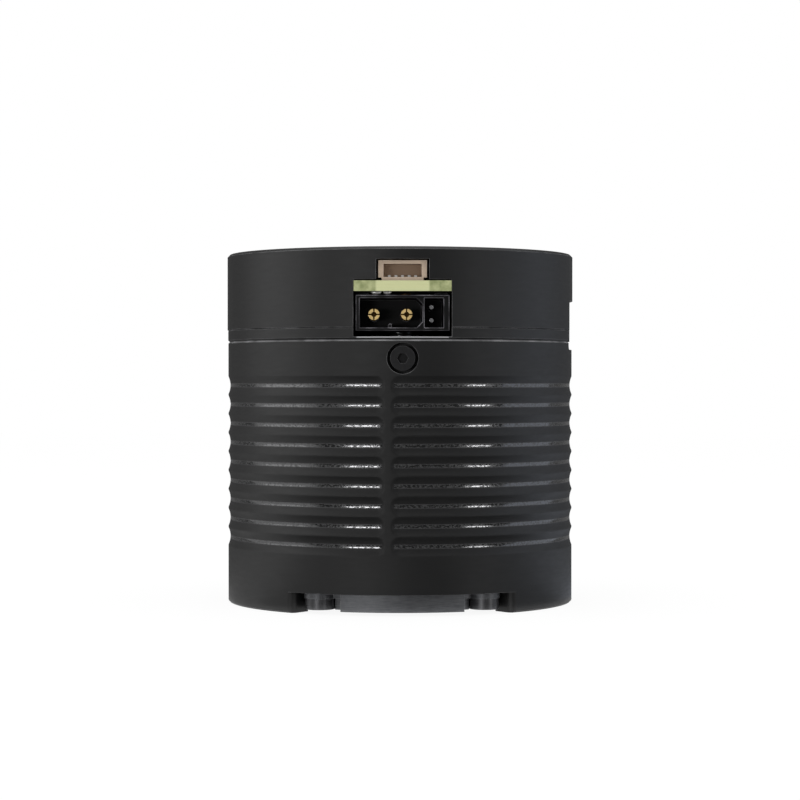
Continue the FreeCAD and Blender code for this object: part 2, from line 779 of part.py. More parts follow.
# ---- Rear bearing plate -----------------------------------------------------------------------
def rear_bearing_plate():
    plate = rod(bore_radius - seat_clearance, rear_plate_bottom, rear_plate_top)
    hub = rod(hub_radius, rear_bearing_bottom, rear_plate_bottom)
    seat = rod(bearing_outside, rear_bearing_bottom - past, rear_plate_top - bearing_lip)
    passage = rod(bearing_outside - bearing_ring, rear_bearing_bottom, rear_plate_top + past)
    cuts = [seat, passage]
    lead_hole = at_front(rod(lead_hole_radius, 0, total_height), lead_circle)
    cuts += [turn(lead_hole, azimuth) for azimuth in lead_azimuths]
    thread = radial_hole(radial_screw_radius, screw_seat_radius() - radial_screw_length, housing_radius)
    cuts += around(thread, radial_screw_count)
    stud_hole = at_front(rod(cover_screw_radius, rear_plate_top - standoff_stud, total_height),
                         standoff_circle / 2)
    cuts += around(stud_hole, standoff_count, standoff_azimuth)
    return plate.fuse(hub).cut(cuts)


def bearing_shim():
    return ring(bearing_outside - bearing_ring, bearing_outside - seat_clearance, rear_bearing_top,
                rear_bearing_top + shim_height)


def radial_screws():
    screw = socket_screw(radial_screw_head, radial_screw_head_height, radial_screw_radius,
                         radial_screw_length)
    screw.rotate(CENTRE, Vector(1, 0, 0), -90)
    screw = moved(screw, y=-screw_seat_radius(), z=radial_screw_height)
    return around(screw, radial_screw_count)


def board_standoffs():
    body = hexagon(standoff_flats, rear_plate_top, board_bottom)
    stud = rod(cover_screw_radius, rear_plate_top - standoff_stud, rear_plate_top)
    thread = rod(cover_screw_radius, total_height - cover_screw_length, board_bottom)
    standoff = at_front(body.fuse(stud).cut(thread), standoff_circle / 2)
    return around(standoff, standoff_count, standoff_azimuth)


# ---- Rear cover -------------------------------------------------------------------------------
def side_window():
    """Opening on the +X side, which runs down into the housing's top edge."""
    half = window_width / 2
    bottom = seam - side_window_drop
    window = block((spigot_inside() - window_reach, cover_radius + past), (-half, half),
                   (bottom, bottom + side_window_height))
    corners = [edge for edge in window.Edges if edge.BoundBox.XLength > 1]
    return window.makeFillet(side_window_rounding, corners)


def spigot_inside():
    return bore_radius - seat_clearance - spigot_wall


def rear_cover():
    lip_radius = housing_radius + cover_lip_step
    spigot_outside = bore_radius - seat_clearance
    body = turned([
        (0, roof_bottom), (cover_bore, roof_bottom), (cover_bore, seam + cover_ledge),
        (spigot_inside(), seam + cover_ledge), (spigot_inside(), seam - spigot_length),
        (spigot_outside, seam - spigot_length), (spigot_outside, seam),
        (lip_radius - edge_break, seam), (lip_radius, seam + edge_break),
        (lip_radius, seam + cover_lip - cover_lip_groove), (lip_radius - cover_lip_groove, seam + cover_lip),
        (cover_radius, seam + cover_lip), (cover_radius, total_height - top_chamfer),
        (cover_radius - top_chamfer, total_height), (0, total_height)])
    boss = at_front(rod(boss_radius, board_top, roof_bottom), standoff_circle / 2)
    body = body.multiFuse(around(boss, standoff_count, standoff_azimuth))
    screw_hole = rod(cover_screw_radius + seat_clearance, board_top - past, total_height)
    hole = at_front(screw_hole.fuse(cover_screw_cone()), standoff_circle / 2)
    cuts = around(hole, standoff_count, standoff_azimuth) + [side_window()]
    half, notch = window_width / 2, header_notch_width / 2
    reach = (-cover_radius - past, -spigot_inside() + window_reach)
    cuts.append(block((-half, half), reach, (seam + window_sill, board_top + window_top_gap)))
    cuts.append(block((-notch, notch), reach, (board_top, board_top + header_height + header_notch_gap)))
    return body.cut(cuts)


def cover_screw_cone():
    depth = cover_screw_head / 2 - cover_screw_radius
    return Part.makeCone(cover_screw_radius, cover_screw_head / 2, depth, Vector(0, 0, total_height - depth))


def rear_cover_screws():
    shank = rod(cover_screw_radius, total_height - cover_screw_length, total_height)
    socket = hexagon(hex_across_flats, total_height - cover_hex_depth, total_height)
    screw = at_front(cover_screw_cone().fuse(shank).cut(socket), standoff_circle / 2)
    return around(screw, standoff_count, standoff_azimuth)


# ---- Electronics ------------------------------------------------------------------------------
def driver_board():
    disc = rod(cover_bore - board_gap, board_bottom, board_top)
    half = window_width / 2 - tongue_side_gap
    tongue = block((-half, half), (-cover_radius + board_tongue_gap, 0), (board_bottom, board_top))
    hole = at_front(rod(cover_screw_radius + seat_clearance, 0, total_height), standoff_circle / 2)
    return disc.fuse(tongue).removeSplitter().cut(around(hole, standoff_count, standoff_azimuth))


def board_chips():
    length, width, height = chip_size
    chip = block((-length / 2, length / 2), (-width / 2, width / 2), (board_top, board_top + height))
    chips = [turn(at_front(chip, chip_circle), azimuth) for azimuth in chip_azimuths]
    length, width, height = controller_size
    chips.append(block((-length / 2, length / 2), (-width / 2, width / 2), (board_top, board_top + height)))
    return chips


def board_capacitors():
    can = at_front(rod(capacitor_radius, board_bottom - capacitor_height, board_bottom), capacitor_circle)
    return [turn(can, azimuth) for azimuth in capacitor_azimuths]


def connector_body(drop):
    """Two-power, two-signal connector at the front, its mouth towards -Y and its feet on the board."""
    top = connector_top - drop
    bottom = top - connector_height
    mouth = -cover_radius + connector_inset
    half = connector_width / 2
    body = block((-half, half), (mouth, mouth + connector_depth), (bottom, top))
    low, high = bottom + connector_wall, top - connector_wall
    chamfer = cavity_chamfer
    outline = [(-cavity_left, low), (cavity_right - chamfer, low), (cavity_right, low + chamfer),
               (cavity_right, high - chamfer), (cavity_right - chamfer, high), (-cavity_left, high)]
    points = [Vector(x, mouth, z) for x, z in outline]
    cavity = Part.Face(Part.makePolygon(points + points[:1])).extrude(Vector(0, cavity_depth, 0))
    signal = block((signal_left, signal_right), (mouth, mouth + cavity_depth), (low, high))
    key = block((key_offset - key_width / 2, key_offset + key_width / 2),
                (mouth + key_setback, mouth + cavity_depth), (low, low + key_height))
    holes = [pin_rod(x, z, radius, mouth, mouth + connector_depth + past)
             for x, z, radius in pin_places(top)]
    foot_depth = connector_depth / 4
    feet = [block((x, x + connector_foot),
                  (mouth + connector_depth - foot_depth, mouth + connector_depth),
                  (top, board_bottom)) for x in (-half, half - connector_foot)]
    return body.multiFuse(feet).cut([cavity, signal] + holes).fuse(key.cut(holes)).removeSplitter()


def pin_places(top):
    """(x, height, radius) of the connector's pins: two power pins, then two signal pins."""
    power = top - power_pin_drop
    signal = top - signal_pin_drop
    places = [(power_pin_offset + i * power_pin_pitch, power, power_pin_radius) for i in range(2)]
    for side in (-1, 1):
        places.append((signal_pin_offset, signal + side * signal_pin_pitch / 2, signal_pin_radius))
    return places


def pin_rod(x, z, radius, start, end):
    """Cylinder along the connector."""
    return Part.makeCylinder(radius, end - start, Vector(x, start, z), Vector(0, 1, 0))


def contacts(kind):
    """Pins of both connectors. A power pin is hollow at its tip, and every pin has a tail to the board."""
    pins = []
    for azimuth, drop in ((0, 0.0), (side_connector_azimuth, side_connector_drop)):
        top = connector_top - drop
        mouth = -cover_radius + connector_inset
        for x, z, radius in pin_places(top)[kind]:
            tail_y = mouth + connector_depth + 2 * radius
            tail = rod(radius, z, board_bottom, x, tail_y)
            pin = pin_rod(x, z, radius, mouth + power_pin_inset, tail_y).fuse(tail)
            if radius == power_pin_radius:
                pin = pin.cut(pin_tip_cuts(x, z, mouth + power_pin_inset))
            pins.append(turn(pin.removeSplitter(), azimuth))
    return pins


def pin_tip_cuts(x, z, tip):
    """Bore and crossed slits that make a power pin's tip springy."""
    bore = pin_rod(x, z, power_pin_bore, tip - past, tip + cavity_depth / 2)
    half, reach = power_pin_slit / 2, power_pin_radius + past
    depth = (tip - past, tip + power_pin_slit_depth)
    return [bore, block((x - half, x + half), depth, (z - reach, z + reach)),
            block((x - reach, x + reach), depth, (z - half, z + half))]


def signal_header():
    """Small header on top of the board, open towards -Y, its lower corners cut back."""
    half = header_width / 2
    front = -cover_radius + header_inset
    low, high = board_top, board_top + header_height
    foot, step = half - header_foot_cut, low + header_foot_height
    outline = [(-foot, low), (foot, low), (foot, step), (half, step), (half, high), (-half, high),
               (-half, step), (-foot, step)]
    points = [Vector(x, front, z) for x, z in outline]
    body = Part.Face(Part.makePolygon(points + points[:1])).extrude(Vector(0, header_depth, 0))
    cavity = block((-half + header_wall, half - header_wall), (front - past, front + header_cavity_depth),
                   (low + header_lip, high - header_lip))
    return body.cut([cavity] + header_pins())


def header_pins():
    front = -cover_radius + header_inset
    floor = board_top + header_lip
    pins = []
    for i in range(contact_count):
        x = (i - (contact_count - 1) / 2) * contact_pitch
        start = front + header_cavity_depth - contact_length
        pins.append(block((x - contact_width / 2, x + contact_width / 2),
                          (start, front + header_depth + past),
                          (floor, floor + contact_thickness)))
    return pins


nodes = {
    "motor_housing": motor_housing(),
    "front_ring": front_ring(),
    "front_ring_screws": front_ring_screws(),
    "output_seal": output_seal(),
    "output_bearing_outer_ring": bearing_race(1),
    "output_bearing_inner_ring": bearing_race(-1),
    "output_bearing_rollers": output_bearing_rollers(),
    "output_flange": output_flange(),
    "output_planet_pins": output_planet_pins(),
    "output_carrier_plate": output_carrier_plate(),
    "output_carrier_screws": output_carrier_screws(),
    "ring_gear": ring_gear(),
    "ring_gear_pins": ring_gear_pins(),
    "stage2_sun_gear": stage2_sun_gear(),
    "stage1_carrier": stage1_carrier(),
    "stage1_planet_pins": stage1_planet_pins(),
    "stage1_sun_gear": stage1_sun_gear(),
    "gearbox_plate": gearbox_plate(),
    "rotor_front_bearing_outer": rotor_bearing_outer(front_bearing_bottom),
    "rotor_front_bearing_inner": rotor_bearing_inner(front_bearing_bottom),
    "rotor_front_bearing_balls": rotor_bearing_balls(front_bearing_bottom),
    "rotor_rear_bearing_outer": rotor_bearing_outer(rear_bearing_bottom),
    "rotor_rear_bearing_inner": rotor_bearing_inner(rear_bearing_bottom),
    "rotor_rear_bearing_balls": rotor_bearing_balls(rear_bearing_bottom),
    "stator_core": stator_core(),
    "stator_insulators": stator_insulators(),
    "stator_windings": stator_windings(),
    "phase_leads": phase_leads(),
    "rotor_shaft": rotor_shaft(),
    "rotor_core": rotor_core(),
    "rotor_magnets": rotor_magnets(),
    "magnet_holder": magnet_holder(),
    "encoder_magnet": encoder_magnet(),
    "encoder_sensor": encoder_sensor(),
    "rear_bearing_plate": rear_bearing_plate(),
    "bearing_shim": bearing_shim(),
    "radial_screws": radial_screws(),
    "board_standoffs": board_standoffs(),
    "driver_board": driver_board(),
    "board_chips": board_chips(),
    "board_capacitors": board_capacitors(),
    "front_power_connector": connector_body(0.0),
    "side_power_connector": turn(connector_body(side_connector_drop), side_connector_azimuth),
    "power_contacts": contacts(slice(0, 2)),
    "signal_contacts": contacts(slice(2, 4)),
    "signal_header": signal_header(),
    "header_contacts": header_pins(),
    "rear_cover": rear_cover(),
    "rear_cover_screws": rear_cover_screws(),
}
for index, letter in enumerate("abc"[:planet_count]):
    nodes["stage1_planet_" + letter] = planet(1, index)
    nodes["stage2_planet_" + letter] = planet(2, index)
    nodes["stage2_bush_" + letter] = planet_bush(index)

os.makedirs("parts", exist_ok=True)
for name, shape in nodes.items():
    solid = Part.makeCompound(shape) if isinstance(shape, list) else shape
    solid.exportStep("parts/" + name + ".step")
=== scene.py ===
"""Looks, light and camera for the robot joint actuator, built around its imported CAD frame.

Metres, in the frame's own axes: +Z along the shaft towards the rear cover, -Y towards the front
connectors. The CAD nodes keep their places and get procedural materials here. The housing alone
is shown by a copy of its mesh with a finer skin, and two small solder joints are added.
"""
import json
from math import cos, pi, radians, sin, sqrt

import bmesh
import bpy
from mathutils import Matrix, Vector, noise

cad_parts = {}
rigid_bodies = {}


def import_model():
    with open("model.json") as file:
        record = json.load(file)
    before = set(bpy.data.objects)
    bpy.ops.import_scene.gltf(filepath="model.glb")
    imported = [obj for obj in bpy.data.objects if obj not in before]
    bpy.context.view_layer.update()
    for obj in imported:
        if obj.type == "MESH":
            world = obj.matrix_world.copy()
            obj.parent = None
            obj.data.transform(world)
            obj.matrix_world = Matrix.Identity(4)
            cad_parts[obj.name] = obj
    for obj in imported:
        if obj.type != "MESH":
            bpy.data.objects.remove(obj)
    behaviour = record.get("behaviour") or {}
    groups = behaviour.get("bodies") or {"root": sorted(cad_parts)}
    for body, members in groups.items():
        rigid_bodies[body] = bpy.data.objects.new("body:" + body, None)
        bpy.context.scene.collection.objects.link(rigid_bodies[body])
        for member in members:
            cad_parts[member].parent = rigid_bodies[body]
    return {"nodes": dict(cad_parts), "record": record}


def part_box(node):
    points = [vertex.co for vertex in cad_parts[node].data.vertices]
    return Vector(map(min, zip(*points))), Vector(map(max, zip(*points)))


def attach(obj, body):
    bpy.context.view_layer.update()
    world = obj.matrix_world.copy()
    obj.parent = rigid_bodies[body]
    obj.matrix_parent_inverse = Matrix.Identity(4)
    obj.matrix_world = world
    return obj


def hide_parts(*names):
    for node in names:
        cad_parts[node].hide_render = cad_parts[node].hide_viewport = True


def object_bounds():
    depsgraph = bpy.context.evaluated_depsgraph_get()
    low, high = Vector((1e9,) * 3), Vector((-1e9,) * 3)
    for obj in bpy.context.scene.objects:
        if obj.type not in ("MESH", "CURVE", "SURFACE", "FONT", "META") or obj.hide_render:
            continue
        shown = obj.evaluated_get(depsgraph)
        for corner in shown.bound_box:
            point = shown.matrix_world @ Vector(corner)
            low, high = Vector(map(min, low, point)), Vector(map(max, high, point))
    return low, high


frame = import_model()
NODES = frame["nodes"]
MM = 0.001

# Whatever the empty file brought along goes, so that only the frame is left.
for obj in list(bpy.data.objects):
    if obj.name not in NODES and not obj.name.startswith("body:"):
        bpy.data.objects.remove(obj)
bpy.context.view_layer.update()
cad_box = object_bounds()

# ---- Places, from the frame -------------------------------------------------------------------
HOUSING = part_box("motor_housing")
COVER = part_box("rear_cover")
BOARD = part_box("driver_board")
HEADER_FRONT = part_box("signal_header")[0].y
POWER_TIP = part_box("power_contacts")[0].y
SIGNAL_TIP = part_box("signal_contacts")[0].y
MIDDLE_Z = (cad_box[0].z + cad_box[1].z) / 2
RADIUS = HOUSING[1].x
SEAM = HOUSING[1].z
GROOVES_LOW = 9.07 * MM
GROOVES_HIGH = SEAM - 5.5 * MM
GROOVE_COUNT = 9
GROOVE_DEPTH = 0.33 * MM
GROOVE_CREST = 0.20 * MM
LAND_DEGREES = -4.6
LAND_AZIMUTH = radians(LAND_DEGREES)
LAND_WIDTH = 0.86 * MM
PITCH = (GROOVES_HIGH - GROOVES_LOW) / GROOVE_COUNT


# ---- Material building ------------------------------------------------------------------------
def shade(colour, factor):
    """A colour made darker or lighter."""
    return tuple(min(1.0, c * factor) for c in colour)


class Nodes:
    """Short calls for building one material's node tree."""

    def __init__(self, name):
        self.material = bpy.data.materials.new(name)
        self.material.use_nodes = True
        self.tree = self.material.node_tree
        self.shader = self.tree.nodes["Principled BSDF"]
        self.place = self.tree.nodes.new("ShaderNodeTexCoord").outputs["Object"]

    def link(self, source, target):
        self.tree.links.new(source, target)

    def set(self, **values):
        for name, value in values.items():
            self.shader.inputs[name.replace("_", " ")].default_value = value

    def scaled(self, x, y, z):
        """Object coordinates in millimetres times a scale on each axis."""
        node = self.tree.nodes.new("ShaderNodeMapping")
        node.inputs["Scale"].default_value = (x / MM, y / MM, z / MM)
        self.link(self.place, node.inputs["Vector"])
        return node.outputs["Vector"]

    def noise(self, vector, scale, detail, roughness=0.5):
        node = self.tree.nodes.new("ShaderNodeTexNoise")
        node.inputs["Scale"].default_value = scale
        node.inputs["Detail"].default_value = detail
        node.inputs["Roughness"].default_value = roughness
        self.link(vector, node.inputs["Vector"])
        return node.outputs["Fac"]

    def cells(self, vector, scale):
        node = self.tree.nodes.new("ShaderNodeTexVoronoi")
        node.inputs["Scale"].default_value = scale
        self.link(vector, node.inputs["Vector"])
        return node.outputs["Distance"]

    def waves(self, vector, scale, direction, distortion=0.0):
        node = self.tree.nodes.new("ShaderNodeTexWave")
        node.bands_direction = direction
        node.inputs["Scale"].default_value = scale
        node.inputs["Distortion"].default_value = distortion
        self.link(vector, node.inputs["Vector"])
        return node.outputs["Fac"]

    def ramp(self, source, *stops):
        """Colour or grey by a value, from (position, grey or colour) stops."""
        node = self.tree.nodes.new("ShaderNodeValToRGB")
        elements = node.color_ramp.elements
        while len(elements) < len(stops):
            elements.new(1.0)
        for element, (position, value) in zip(elements, stops):
            element.position = position
            colour = (value,) * 3 if isinstance(value, float) else value
            element.color = (*colour, 1.0)
        self.link(source, node.inputs["Fac"])
        return node.outputs["Color"]

    def mix(self, factor, a, b):
        """From a to b, each a socket or a colour, by the factor's socket."""
        node = self.tree.nodes.new("ShaderNodeMix")
        node.data_type = "RGBA"
        self.link(factor, node.inputs["Factor"])
        for source, socket in ((a, node.inputs[6]), (b, node.inputs[7])):
            if hasattr(source, "is_output"):
                self.link(source, socket)
            else:
                socket.default_value = (*source, 1.0)
        return node.outputs[2]

    def math(self, operation, a, b=0.5, c=0.5):
        """One arithmetic step on sockets or numbers."""
        node = self.tree.nodes.new("ShaderNodeMath")
        node.operation = operation
        for source, socket in zip((a, b, c), node.inputs):
            if hasattr(source, "is_output"):
                self.link(source, socket)
            else:
                socket.default_value = source
        return node.outputs[0]

    def product(self, a, b):
        return self.math("MULTIPLY", a, b)

    def apart(self, vector, name):
        """One part of a vector."""
        node = self.tree.nodes.new("ShaderNodeSeparateXYZ")
        self.link(vector, node.inputs[0])
        return node.outputs[name]

    def axis(self, name):
        """One object coordinate, in metres."""
        return self.apart(self.place, name)

    def face_normal(self):
        """The surface's own normal."""
        return self.tree.nodes.new("ShaderNodeNewGeometry").outputs["Normal"]

    def rounded(self, radius):
        """Normal of the surface with its edges eased to a radius."""
        node = self.tree.nodes.new("ShaderNodeBevel")
        node.samples = 6
        node.inputs["Radius"].default_value = radius
        return node.outputs["Normal"]

    def edges(self, radius):
        """1 along the edges that face up, less along the others, 0 elsewhere; the extra weight on
        upward edges is painted light from above.
        """
        eased = self.rounded(radius)
        node = self.tree.nodes.new("ShaderNodeVectorMath")
        node.operation = "DOT_PRODUCT"
        self.link(eased, node.inputs[0])
        self.link(self.face_normal(), node.inputs[1])
        turned = self.math("SUBTRACT", 1.0, node.outputs["Value"])
        found = self.ramp(turned, (0.004, 0.0), (0.06, 1.0))
        # Upward-facing edges count more, as painted light from above.
        height = self.math("MULTIPLY_ADD", self.apart(eased, "Z"), 0.5, 0.5)
        return self.product(found, self.ramp(height, (0.2, 0.3), (0.75, 1.0)))

    def between(self, name, low, high):
        """1 where one object coordinate lies between two values in metres."""
        return self.product(self.math("GREATER_THAN", self.axis(name), low),
                            self.math("LESS_THAN", self.axis(name), high))

    def bump(self, height, distance, strength, eased=0.0):
        """Fine relief, on edges eased to a radius if one is given."""
        node = self.tree.nodes.new("ShaderNodeBump")
        if eased:
            self.link(self.rounded(eased), node.inputs["Normal"])
        node.inputs["Strength"].default_value = strength
        node.inputs["Distance"].default_value = distance
        self.link(height, node.inputs["Height"])
        self.link(node.outputs["Normal"], self.shader.inputs["Normal"])


ANODISED_BLACK = (0.005, 0.005, 0.0052)
# Pale colours of edges: partly wear, partly painted highlight.
WORN_AND_HIGHLIT_ANODISED = (0.34, 0.34, 0.35)
WORN_AND_HIGHLIT_MACHINED = (0.45, 0.45, 0.46)
BURNISHED = (0.14, 0.14, 0.143)
BURNISHED_ROUGHNESS = (0.11, 0.11, 0.11)
LINE_START = radians(1.9)    # from the land's middle to where the burnished lines begin


def burnished_lines(m):
    """1 on the line that the form tool leaves in each groove, finely broken up."""
    turn = m.math("FRACT", m.math("DIVIDE", m.math("SUBTRACT", m.axis("Z"), GROOVES_LOW), PITCH))
    offset = m.math("ABSOLUTE", m.math("SUBTRACT", turn, 0.5))
    azimuth = m.math("ARCTAN2", m.axis("X"), m.product(m.axis("Y"), -1.0))
    beside = m.math("ABSOLUTE", m.math("SUBTRACT", azimuth, LAND_AZIMUTH))
    line = m.product(m.ramp(offset, (0.07, 1.0), (0.115, 0.0)),
                     m.between("Z", GROOVES_LOW, GROOVES_HIGH))
    specks = m.ramp(m.noise(m.scaled(1, 1, 1.6), 2.6, 3.0), (0.38, 0.45), (0.54, 1.0))
    return m.product(m.product(line, specks), m.math("GREATER_THAN", beside, LINE_START))


def anodised(name, colour, roughness, wear_and_highlight, bare_and_highlit, grooves=False):
    """Black anodised aluminium: a satin coat over a fine blasted grain, paler along its edges from
    wear and from painted highlights.

    The band given is (lowest, highest, half width) of a turned or filed edge that shows the metal,
    painted pale, which also stands in for the highlight along it. Where it is narrower than the body
    it lies at the front only, is pale all over and is purely a painted highlight.
    """
    m = Nodes(name)
    grain = m.noise(m.scaled(1, 1, 1), 5.0, 3.0, 0.6)
    cloud = m.noise(m.scaled(1, 1, 0.5), 0.12, 2.0)
    coat = m.ramp(cloud, (0.3, shade(colour, 0.85)), (0.7, shade(colour, 1.15)))
    drift = m.noise(m.scaled(1, 1, 6), 0.35, 3.0)
    satin = m.ramp(drift, (0.3, roughness - 0.03), (0.7, roughness + 0.03))
    patchy = m.ramp(m.noise(m.scaled(1, 1, 1), 0.35, 3.0), (0.35, wear_and_highlight * 0.3), (0.65, wear_and_highlight))
    # The band is painted pale: partly uncoated metal, partly painted highlight.
    low, high, half = bare_and_highlit
    highlight_strip = m.product(m.between("Z", low, high), m.between("X", -half, half))
    # A narrow band lies only at the front: a painted highlight.
    if half < RADIUS:
        highlight_strip = m.product(highlight_strip, m.math("LESS_THAN", m.axis("Y"), 0.0))
        patchy = m.math("MAXIMUM", patchy, highlight_strip)
    # Pale, slightly metallic edges: partly wear, partly painted highlight, strongest on upward edges.
    worn_and_highlit = m.product(m.math("MAXIMUM", m.edges(0.12 * MM), highlight_strip), patchy)
    coat = m.mix(worn_and_highlit, coat, WORN_AND_HIGHLIT_ANODISED)
    metal = m.product(worn_and_highlit, 0.2)
    if grooves:
        line = burnished_lines(m)
        satin = m.mix(line, satin, BURNISHED_ROUGHNESS)
        coat = m.mix(line, coat, BURNISHED)
        metal = m.math("MAXIMUM", metal, line)
    m.link(coat, m.shader.inputs["Base Color"])
    m.link(metal, m.shader.inputs["Metallic"])
    m.link(satin, m.shader.inputs["Roughness"])
    m.set(Specular_IOR_Level=0.55)
    m.bump(grain, 0.003 * MM, 0.4, 0.1 * MM)
    return m.material


def machined(name, colour, roughness, metallic, mottle=0.15, streak=0.25, wear_and_highlight=0.0):
    """Bare or thinly coated machined metal with tool marks and stains, paler along its edges from
    wear and from painted highlights.
    """
    m = Nodes(name)
    stain = m.noise(m.scaled(1, 1, 1), 0.9, 4.0, 0.65)
    marks = m.noise(m.scaled(0.25, 0.25, 5), 2.2, 3.0)
    blend = m.math("MULTIPLY_ADD", marks, streak, m.product(stain, 1.0 - streak))
    skin = m.ramp(blend, (0.35, shade(colour, 1 - mottle)), (0.65, shade(colour, 1 + mottle)))
    # Pale edges: partly wear, partly painted highlight, strongest on upward edges.
    if wear_and_highlight:
        skin = m.mix(m.product(m.edges(0.1 * MM), wear_and_highlight), skin, WORN_AND_HIGHLIT_MACHINED)
    dullness = m.ramp(marks, (0.3, roughness - 0.08), (0.7, roughness + 0.1))
    m.link(skin, m.shader.inputs["Base Color"])
    m.link(dullness, m.shader.inputs["Roughness"])
    m.set(Metallic=metallic)
    m.bump(m.math("MULTIPLY_ADD", marks, streak, stain), 0.01 * MM, 0.5, 0.1 * MM)
    return m.material


def plastic(name, colour, roughness, speckle=0.12, gloss=0.5, worn_and_highlit=None, cavity_shade=None):
    """Moulded plastic with a fine spark-eroded grain and faint flow marks.

    The edge colour is for pale edges, partly wear and partly painted highlight, and the cavity entry
    is (front, back, colour) for painted shade that darkens a cavity inwards.
    """
    m = Nodes(name)
    flow = m.noise(m.scaled(1, 1, 1), 0.8, 3.0)
    grain = m.noise(m.scaled(1, 1, 1), 14.0, 2.0)
    skin = m.ramp(flow, (0.35, shade(colour, 1 - speckle)), (0.65, shade(colour, 1 + speckle)))
    # Painted shade: the cavity darkens inwards.
    if cavity_shade:
        front, back, inside = cavity_shade
        depth = m.math("DIVIDE", m.math("SUBTRACT", m.axis("Y"), front), back - front)
        skin = m.mix(m.ramp(depth, (0.0, 0.0), (1.0, 1.0)), skin, inside)
    # Pale edges: partly wear, partly painted highlight, strongest on upward edges.
    if worn_and_highlit:
        patches = m.ramp(m.noise(m.scaled(1, 1, 1), 0.45, 2.0), (0.38, 0.15), (0.62, 1.0))
        skin = m.mix(m.product(m.edges(0.2 * MM), patches), skin, worn_and_highlit)
    dullness = m.ramp(grain, (0.3, roughness - 0.06), (0.7, roughness + 0.06))
    m.link(skin, m.shader.inputs["Base Color"])
    m.link(dullness, m.shader.inputs["Roughness"])
    m.set(Specular_IOR_Level=gloss)
    m.bump(grain, 0.004 * MM, 0.5, 0.08 * MM)
    return m.material


def pin_metal(name, colour, tip, metallic):
    """Plated contact: bright on its end face, and painted darker in its bore, its slits and along its
    side as shade.

    The pins end at the same distance from the axis, to -Y at the front and to +X at the side.
    """
    m = Nodes(name)
    tint = m.noise(m.scaled(1, 1, 1), 3.0, 2.0)
    outward = m.math("MINIMUM", m.axis("Y"), m.product(m.axis("X"), -1.0))
    face = m.ramp(m.product(m.math("SUBTRACT", outward, tip), 1 / MM), (0.12, 1.0), (0.5, 0.0))
    bright = m.ramp(tint, (0.35, shade(colour, 0.8)), (0.65, colour))
    # Painted shade for the bore, slits and side.
    painted_shade = tuple(c * c * 0.22 for c in colour)
    m.link(m.mix(face, painted_shade, bright), m.shader.inputs["Base Color"])
    m.set(Metallic=metallic, Roughness=0.24)
    m.bump(tint, 0.004 * MM, 0.4, 0.06 * MM)
    return m.material


def turned_metal(name, colour, roughness, metallic=1.0):
    """Turned or ground metal, with fine rings round the part's axis."""
    m = Nodes(name)
    rings = m.noise(m.scaled(0.1, 0.1, 9), 1.5, 3.0)
    dust = m.noise(m.scaled(1, 1, 1), 2.5, 3.0)
    dullness = m.ramp(rings, (0.3, roughness - 0.06), (0.7, roughness + 0.08))
    m.link(m.ramp(dust, (0.35, shade(colour, 0.9)), (0.65, colour)), m.shader.inputs["Base Color"])
    m.link(dullness, m.shader.inputs["Roughness"])
    m.set(Metallic=metallic)
    m.bump(rings, 0.004 * MM, 0.4)
    return m.material


def board_material():
    """Circuit board: pale laminate on the cut edge, dark solder mask with tracks on the faces."""
    m = Nodes("board")
    layers = m.waves(m.scaled(0, 0, 1), 1.3, "Z")
    fibre = m.noise(m.scaled(3, 3, 9), 1.0, 3.0)
    blotch = m.noise(m.scaled(1, 1, 1), 0.9, 2.0)
    across = m.product(m.math("ABSOLUTE", m.axis("X")), 1 / (8 * MM))
    ends = m.product(m.ramp(across, (0.49, 0.0), (0.53, 1.0)),
                     m.ramp(blotch, (0.35, 1.0), (0.65, 0.45)))
    edge = m.mix(m.product(layers, 0.3), (0.52, 0.54, 0.28), (0.43, 0.46, 0.21))
    edge = m.mix(m.product(fibre, 0.3), edge, (0.60, 0.61, 0.38))
    edge = m.mix(ends, edge, (0.22, 0.25, 0.10))
    tracks = m.ramp(m.cells(m.scaled(1, 1, 0), 0.45), (0.45, 0.0), (0.5, 1.0))
    mask = m.mix(tracks, (0.012, 0.03, 0.018), (0.02, 0.05, 0.03))
    level = m.math("ABSOLUTE", m.apart(m.face_normal(), "Z"))
    face = m.ramp(level, (0.4, 0.0), (0.6, 1.0))
    m.link(m.mix(face, edge, mask), m.shader.inputs["Base Color"])
    m.link(m.ramp(face, (0.0, 0.62), (1.0, 0.32)), m.shader.inputs["Roughness"])
    m.bump(fibre, 0.02 * MM, 0.5)
    return m.material


def banded(name, bands, dark, light, metallic, roughness, relief, strength):
    """Metal in fine light and dark bands that also stand in relief.

    bands holds the scale on each axis, followed by what Nodes.waves takes after its vector.
    """
    m = Nodes(name)
    scales, *pattern_values = bands
    pattern = m.waves(m.scaled(*scales), *pattern_values)
    m.link(m.ramp(pattern, (0.0, dark), (1.0, light)), m.shader.inputs["Base Color"])
    m.set(Metallic=metallic, Roughness=roughness)
    m.bump(pattern, relief, strength)
    return m.material


def laminations():
    """Stack of thin electrical steel sheets."""
    return banded("lamination_steel", ((0, 0, 1), 0.9, "Z"), (0.14, 0.14, 0.15),
                  (0.34, 0.34, 0.36), 0.9, 0.45, 0.05 * MM, 0.6)


def winding():
    """Enamelled copper wire, wound in close turns."""
    return banded("copper", ((1, 1, 1), 0.8, "X", 0.4), (0.28, 0.09, 0.03),
                  (0.66, 0.28, 0.1), 0.85, 0.28, 0.12 * MM, 0.7)
